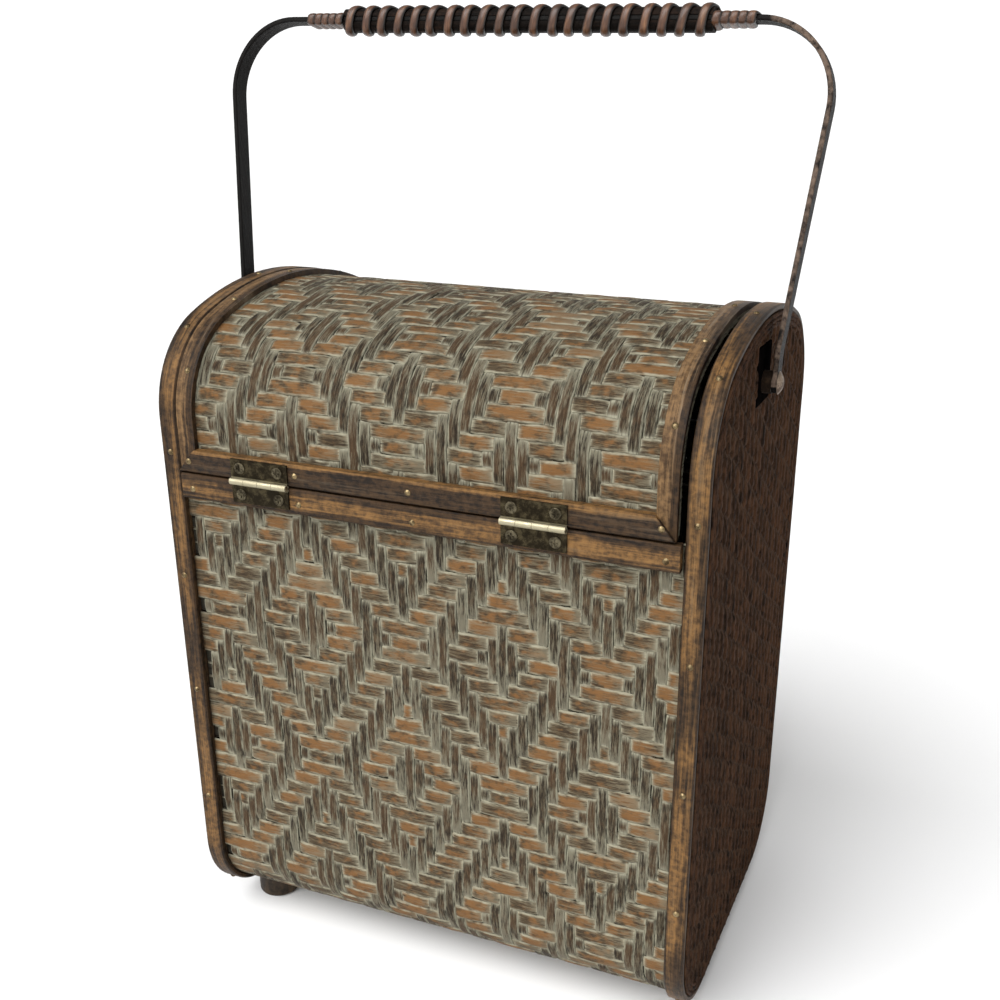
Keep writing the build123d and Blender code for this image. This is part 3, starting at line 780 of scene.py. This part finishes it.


# %% [markdown]
# ## Splint finishes
#
# The splints were stained dark and then dry-brushed with a pale grey, which stayed on every
# edge and high place: each float has a thin pale outline. The lying splints kept an
# orange-brown heart in blotches. Each float has a shade of its own.
# Where a float dives under its neighbours it is darkened as painted shade, and each float is
# painted paler towards one end as shade along it.


# %% Finish of a splint
def splint_finish(name, dark, core, flame, film, edge, flame_share=1.0, film_share=1.0,
                  edge_share=0.95, gloss=0.14):
    """dark and core make the streaks along the grain, flame the blotch in the middle of a float,
    film the dry-brush grey, and edge the outline. The shares say how strong each is. Each float
    is painted a little paler towards one end and darker towards the other as shade along it, and
    where a float dives under its neighbours it is darkened as painted shade."""
    f = Finish(name)
    grain = f.read("grain", vector=True)
    across = f.read("across").size()
    along = f.read("along")
    tone = f.read("tone")
    lift = f.read("lift")
    fine = f.noise(f.stretch(grain, (3.2, 0.20, 1.0)), detail=5.0, rough=0.75)
    broad = f.noise(f.stretch(grain, (1.1, 0.12, 1.0)), detail=3.0)
    blot = f.noise(f.stretch(grain, (0.36, 0.24, 1.0)), detail=2.0, rough=0.55)
    base = f.mix((fine + (broad - 0.5) * 0.5).between(0.40, 0.60), dark, core)
    middle = (1 - along * along) * 0.5 + (1 - across * across) * 0.25
    heart = (middle + (blot - 0.5) * 3.0 + (tone - 0.5) * 1.0).between(0.15, 1.10)
    base = f.mix(heart * flame_share, base, f.mix(fine.between(0.22, 0.58), core, flame))
    grey = (tone * 7.0).fraction().between(0.86, 0.93) * 0.16
    # Besides the dry-brush film, the along term paints each float paler towards one end and
    # darker towards the other: painted shade along the float.
    film_and_float_shade = (fine * 1.3 + broad * 0.9 + grey - middle * 0.40 + along * 0.12).between(0.80, 1.12)
    base = f.mix(film_and_float_shade * film_share, base, film)
    rim = (across + (fine - 0.5) * 0.35 + (blot - 0.5) * 0.3).between(0.58, 0.92)
    ends = 1 - lift.between(0.05, 0.85)
    pale = rim.larger(ends) * (broad * 1.2 + blot * 0.8).between(0.62, 1.15)
    base = f.mix(pale * edge_share, base, edge)
    # Painted shade: where a float dives under its neighbours it is darkened to near black.
    base = f.mix((1 - lift.between(-0.8, -0.15)) * 0.9, base, linear(20, 16, 12))
    rough = 0.55 + 0.3 * fine
    return f.set(Base_Color=base, Roughness=rough, Specular_IOR_Level=gloss,
                 Normal=f.bump(fine * 0.9 + broad * 0.6, 0.00045, 1.0))


standing_finish = splint_finish(
    "standing_splint", linear(32, 26, 19), linear(76, 66, 50), linear(86, 62, 40),
    linear(122, 118, 101), linear(150, 147, 128), flame_share=0.5, film_share=0.66)
lying_finish = splint_finish(
    "lying_splint", linear(54, 44, 32), linear(88, 74, 54), linear(120, 84, 48),
    linear(122, 115, 96), linear(154, 150, 130), film_share=0.55)
# The end weave's colours are darker than the sheets': partly a darker stain, partly painted shade
# for an end board that faces away from the key light.
end_finish = splint_finish(
    "end_splint", linear(16, 10, 7), linear(58, 39, 27), linear(82, 55, 37),
    linear(72, 55, 42), linear(92, 70, 52), flame_share=0.6, film_share=0.4, edge_share=0.2,
    gloss=0.04)
for piece in (body_standing, lid_standing, *bands):
    coat(piece, standing_finish)
for piece in (body_lying, lid_lying):
    coat(piece, lying_finish)
for piece in (left_skin, right_skin, *borders):
    coat(piece, end_finish)


# %% [markdown]
# ## Strips of split wood
#
# Rims, rails and lid strips are split wood, stained dark. Hands and shelves have rubbed the
# stain off in patches, where a golden amber shows between dark streaks, and a grey film stays
# in the low places. The grain runs along each strip, so the noise is stretched along it.


# %% Finish of a strip
def strip_finish(name, along, marks=None, dark=linear(24, 17, 11), middle=linear(66, 48, 30),
                 amber=linear(128, 94, 54), film=linear(94, 84, 69), wear=1.0, dust=0.5,
                 gloss=0.18):
    """along gives the three scales of the grain, large across it and small along it. marks
    takes the finish and gives more than 0 where the strip is rubbed, less where it stays
    dark."""
    f = Finish(name)
    fine = f.noise(f.place(along), detail=6.0, rough=0.75)
    wide = f.noise(f.place(tuple(0.24 * v for v in along)), detail=3.0)
    patch = f.noise(f.place((30, 30, 30)), detail=3.0)
    mottle = f.noise(f.place((420, 420, 420)), detail=3.0)
    base = f.mix((fine + (mottle - 0.5) * 0.6).between(0.32, 0.66), dark, middle)
    rubbed = (patch - 0.5) * 2.0 + (wide - 0.5) * 2.4 + (fine - 0.5) * 0.9 + 0.50
    if marks:
        rubbed = rubbed + marks(f) * 0.55
    gold = (fine + (mottle - 0.5) * 0.7).between(0.30, 0.70)
    base = f.mix(rubbed.between(0.30, 1.05) * wear, base, f.mix(gold, middle, amber))
    dusty = (wide * 0.9 + fine * 0.7).between(0.86, 1.08)
    base = f.mix(dusty * dust, base, film)
    rough = 0.38 + 0.28 * fine
    return f.set(Base_Color=base, Roughness=rough, Specular_IOR_Level=gloss,
                 Normal=f.bump(fine + 0.6 * wide, 0.0005, 1.0))


def stripe(axis, *lines):
    """A mask from (place, reach, value) lines along one axis, in millimetres: value within
    reach of place, and 0 a little farther off."""
    def mask(f):
        spot = f.node("SeparateXYZ", {}, {0: f.node("TexCoord", out=3)}, out="XYZ".index(axis))
        total = 0.0
        for place, reach, value in lines:
            away = (spot - place * MM).size()
            total = (1 - away.between(reach * MM * 0.7, reach * MM * 1.3)) * value + total
        return total
    return mask


ROUND_GRAIN = (900, 38, 38)
LONG_GRAIN = (38, 900, 900)
for word, sign in (("left", -1), ("right", 1)):
    low, high = box_mm(f"rim_{word}")
    marks = stripe("X", (low[0], 0.5, -1.6), (high[0], 0.5, -1.6),
                   ((low[0] + high[0]) / 2 - sign, 1.8, 0.5))
    coat(nodes[f"rim_{word}"], strip_finish(f"rim_{word}_wood", ROUND_GRAIN, marks))
    low, high = box_mm(f"lid_end_strip_{word}")
    marks = stripe("X", (low[0] + 1.6, 1.8, 0.9), (high[0] - 0.8, 1.6, -1.0))
    coat(nodes[f"lid_end_strip_{word}"],
         strip_finish(f"lid_end_{word}_wood", ROUND_GRAIN, marks, amber=linear(124, 96, 64),
                      film=linear(116, 104, 88), dust=0.8))
    coat(nodes[f"end_panel_{word}"],
         strip_finish(f"end_board_{word}_wood", (500, 500, 30), wear=0.2, dust=0.2))
for word in ("back", "front"):
    low, high = box_mm(f"body_rail_{word}")
    marks = stripe("Z", (low[2], 0.9, -1.5), (high[2], 0.9, -1.5),
                   ((low[2] + high[2]) / 2, 2.6, 0.7))
    coat(nodes[f"body_rail_{word}"], strip_finish(f"body_rail_{word}_wood", LONG_GRAIN, marks))
    low, high = box_mm(f"lid_rail_{word}")
    marks = stripe("Z", (high[2], 1.3, 1.1), (low[2] + 3, 3.8, -1.5))
    coat(nodes[f"lid_rail_{word}"],
         strip_finish(f"lid_rail_{word}_wood", LONG_GRAIN, marks, film=linear(84, 76, 64)))


# %% Handle strip, canes, feet and spacers
def worn_and_lit_edges(f):
    """High on the narrow faces of the strap's right leg and low elsewhere. The pale narrow faces
    are worn wood and also a painted highlight, as light falls on that leg; the left leg's edges
    stay dark as painted shade. The distance from the strap's middle plane is the dot product with
    the direction across the strap, which leans with it."""
    spot = f.node("TexCoord", out=3)
    off = f.node("VectorMath", {"operation": "DOT_PRODUCT"}, {0: spot, 1: tuple(aside)}, out=1)
    off = (off - float(pivot @ aside) * MM).size()
    right_leg = f.node("SeparateXYZ", {}, {0: spot}).between(0.098, 0.106)
    return off.between(0.0032, 0.0038) * right_leg * 3 - 1.6


# The strap's near-black colours are its dark stain and also painted shade, with the left leg
# lying in shade.
strap_wood = strip_finish("strap_wood", (160, 700, 60), worn_and_lit_edges, dark=linear(6, 5, 4),
                          middle=linear(15, 12, 10), amber=linear(104, 88, 76),
                          film=linear(24, 20, 17), dust=0.2, gloss=0.1)
coat(nodes["handle_strap"], strap_wood)
# The core's near-black colour is its dark stain and also painted shade for the deep gaps between
# the turns.
core_wood = strip_finish("core_wood", (60, 700, 700), dark=linear(6, 4, 3),
                         middle=linear(16, 11, 8), amber=linear(50, 34, 24), wear=0.5, dust=0.0,
                         gloss=0.06)
coat(nodes["grip_core_top"], core_wood)
coat(nodes["grip_core_bottom"], core_wood)
foot_wood = strip_finish("foot_wood", (260, 260, 60), dark=linear(30, 24, 18),
                         middle=linear(60, 48, 36), amber=linear(92, 74, 52))
for name in nodes:
    if name.startswith("foot_"):
        coat(nodes[name], foot_wood)
washer_wood = strip_finish("washer_wood", (300, 300, 300), middle=linear(30, 22, 16), wear=0.1,
                           dust=0.1, gloss=0.05)
coat(nodes["handle_washer_left"], washer_wood)
coat(nodes["handle_washer_right"], washer_wood)


# %% [markdown]
# ## Cane
#
# Cane keeps its natural shiny skin, so the wound strip is glossier than anything else here.
# Its middle catches the light, and its edges are darkened as painted shade where each turn rounds
# down into the gaps.


# %% Finish of the cane
def cane_finish():
    """Copper-brown skin with fine lengthwise lines and edges darkened as painted shade."""
    f = Finish("wound_cane_skin")
    grain = f.read("grain", vector=True)
    across = f.read("across").size()
    tone = f.read("tone")
    fine = f.noise(f.stretch(grain, (2.4, 0.16, 1.0)), detail=5.0, rough=0.65)
    patch = f.noise(f.stretch(grain, (0.3, 0.13, 1.0)), detail=2.0)
    base = f.ramp(fine * 0.6 + patch * 0.5, (0.36, linear(34, 20, 13)),
                  (0.56, linear(84, 53, 34)), (0.76, linear(138, 98, 66)))
    base = f.mix(tone * 0.4, base, linear(46, 29, 20))
    # Painted shade: both edges of the strip are darkened nearly to black, where the turns round
    # down into the gaps.
    base = f.mix((across + (fine - 0.5) * 0.5).between(0.40, 0.90), base, linear(12, 8, 5))
    rough = 0.28 + 0.22 * fine
    return f.set(Base_Color=base, Roughness=rough, Normal=f.bump(fine, 0.00016, 0.7),
                 Specular_IOR_Level=0.5)


coat(cane, cane_finish())


# %% [markdown]
# ## Metal
#
# The hinge leaves are antique brass: lacquered olive-brown, rubbed to a paler metal in
# patches. The knuckles, turned by every opening, are rubbed bright, and their pale band is
# also a painted highlight on the round barrels. Tacks are dull iron.


# %% Finish of metal pieces
def metal_finish(name, dull, bright, share, rough_low, rough_high, metallic=1.0, gloss=0.5,
                 marks=None):
    """Two tones of metal mixed by patches and fine scratches; marks adds bright places."""
    f = Finish(name)
    patch = f.noise(f.place((260, 260, 260)), detail=5.0, rough=0.65)
    fine = f.noise(f.place((2600, 900, 2600)), detail=3.0)
    mask = (patch + (fine - 0.5) * 0.35).between(share - 0.14, share + 0.14)
    colour = f.mix(mask, dull, bright)
    if marks:
        # The marks' pale colour is partly rubbed brass and partly a painted highlight.
        colour = f.mix(marks(f), colour, linear(176, 168, 142))
    rough = rough_high - (rough_high - rough_low) * mask
    return f.set(Base_Color=colour, Roughness=rough, Metallic=metallic,
                 Specular_IOR_Level=gloss, Normal=f.bump(patch * 0.7 + fine * 0.3, 0.00012, 0.6))


pin_low, pin_high = box_mm("hinge_pin_left")
# The knuckle band is painted pale: rubbed brass and a painted highlight on the round barrels.
knuckles = stripe("Z", ((pin_low[2] + pin_high[2]) / 2, 1.5, 1.0))
leaf = metal_finish("leaf_brass", linear(38, 33, 24), linear(78, 70, 52), 0.56, 0.4, 0.6,
                    marks=knuckles)
bright_brass = metal_finish("pin_brass", linear(170, 160, 130), linear(222, 214, 190), 0.45,
                            0.18, 0.32)
screw = metal_finish("screw_metal", linear(50, 45, 35), linear(112, 104, 84), 0.54, 0.35, 0.55)
tack = metal_finish("tack_metal", linear(74, 60, 42), linear(150, 132, 98), 0.48, 0.4, 0.55)
rivet = metal_finish("rivet_metal", linear(84, 70, 60), linear(140, 124, 108), 0.5, 0.45, 0.6)
# The pivot plate is near black with no reflection: a dark plate that also stands in as painted
# shadow for a deep recess beside the pivot.
plate = metal_finish("plate_iron", linear(6, 5, 5), linear(14, 12, 11), 0.6, 0.6, 0.8,
                     metallic=0.0, gloss=0.0)
latch = metal_finish("latch_brass", linear(92, 78, 50), linear(176, 154, 104), 0.5, 0.25, 0.45)
METALS = (("hinge_leaf", leaf), ("hinge_pin", bright_brass), ("hinge_screws", screw),
          ("tacks", tack), ("handle_rivet", rivet), ("pivot_plate", plate), ("latch", latch))
for name, node in nodes.items():
    for word, metal in METALS:
        if word in name:
            coat(node, metal)
print("finishes", len(bpy.data.materials))

# %% [markdown]
# ## Floor, light and camera
#
# A plain pale floor under one wide, far lamp from the upper left of the hinge side and a
# small one from the right, as in a small studio with a white tent. The surroundings are pale
# low down and dimmer overhead, so from above the floor has no visible end. The camera looks
# down on the hinge side from the right, close enough for the upright lines to lean in.

# %% Floor
FLOOR_REACH = 8.0
corners = np.array([(-1, -1), (1, -1), (1, 1), (-1, 1)]) * FLOOR_REACH
floor_mesh = bpy.data.meshes.new("floor")
floor_mesh.from_pydata([(x, y, 0.0) for x, y in corners], [], [(0, 1, 2, 3)])
floor = bpy.data.objects.new("floor", floor_mesh)
bpy.context.scene.collection.objects.link(floor)
pale = Finish("pale_floor")
coat(floor, pale.set(Base_Color=(0.9, 0.9, 0.9, 1), Roughness=0.9, Specular_IOR_Level=0.1))


# %% Lights
def aimed(made, place, aim):
    """Puts a lamp at a place and turns it to face a point: its third axis points back."""
    back = np.array(place, float) - np.array(aim, float)
    back /= np.linalg.norm(back)
    right = np.cross((0, 0, 1), back)
    right /= np.linalg.norm(right)
    turn = np.eye(4)
    turn[:3, 0], turn[:3, 1], turn[:3, 2], turn[:3, 3] = right, np.cross(back, right), back, place
    made.matrix_world = Matrix(turn.tolist())
    bpy.context.scene.collection.objects.link(made)


key = bpy.data.lights.new("key_light", "SUN")
key.energy = 3.5
key.angle = np.radians(50)
aimed(bpy.data.objects.new("key_light", key), (-0.62, -1.35, 1.55), (0, 0, 0))
top = bpy.data.lights.new("top_light", "AREA")
top.size, top.energy = 0.9, 5.0
aimed(bpy.data.objects.new("top_light", top), (0.5, -0.9, 1.5), (0, 0, 0.2))

world = bpy.data.worlds.new("studio")
world.use_nodes = True
sky = world.node_tree
background = sky.nodes["Background"]
background.inputs["Color"].default_value = (1.0, 1.0, 1.0, 1)
ray = sky.nodes.new("ShaderNodeTexCoord")
split = sky.nodes.new("ShaderNodeSeparateXYZ")
fade = sky.nodes.new("ShaderNodeMapRange")
sky.links.new(ray.outputs["Generated"], split.inputs[0])
sky.links.new(split.outputs[2], fade.inputs["Value"])
for word, amount in (("From Min", 0.12), ("From Max", 0.35), ("To Min", 1.15),
                     ("To Max", 0.42)):
    fade.inputs[word].default_value = amount
sky.links.new(fade.outputs[0], background.inputs["Strength"])
bpy.context.scene.world = world
bpy.context.scene.view_settings.view_transform = "Standard"

# %% Camera
EYE = np.array([0.20497, -0.45813, 0.37297])
YAW, PITCH, ROLL = np.radians([21.61, 21.71, 0.49])
ahead = np.array([-np.sin(YAW) * np.cos(PITCH), np.cos(YAW) * np.cos(PITCH), -np.sin(PITCH)])
level = np.array([np.cos(YAW), np.sin(YAW), 0.0])
above = np.cross(level, ahead)
right = np.cos(ROLL) * level + np.sin(ROLL) * above
upward = np.cos(ROLL) * above - np.sin(ROLL) * level
lens = bpy.data.cameras.new("camera")
lens.sensor_width = 36.0
lens.lens = 44.06
lens.shift_x, lens.shift_y = -0.05, 0.05
lens.clip_start, lens.clip_end = 0.01, 50.0
camera = bpy.data.objects.new("camera", lens)
matrix = np.eye(4)
matrix[:3, 0], matrix[:3, 1], matrix[:3, 2], matrix[:3, 3] = right, upward, -ahead, EYE
camera.matrix_world = Matrix(matrix.tolist())
bpy.context.scene.collection.objects.link(camera)
bpy.context.scene.camera = camera
print("camera", EYE, "lens", lens.lens)
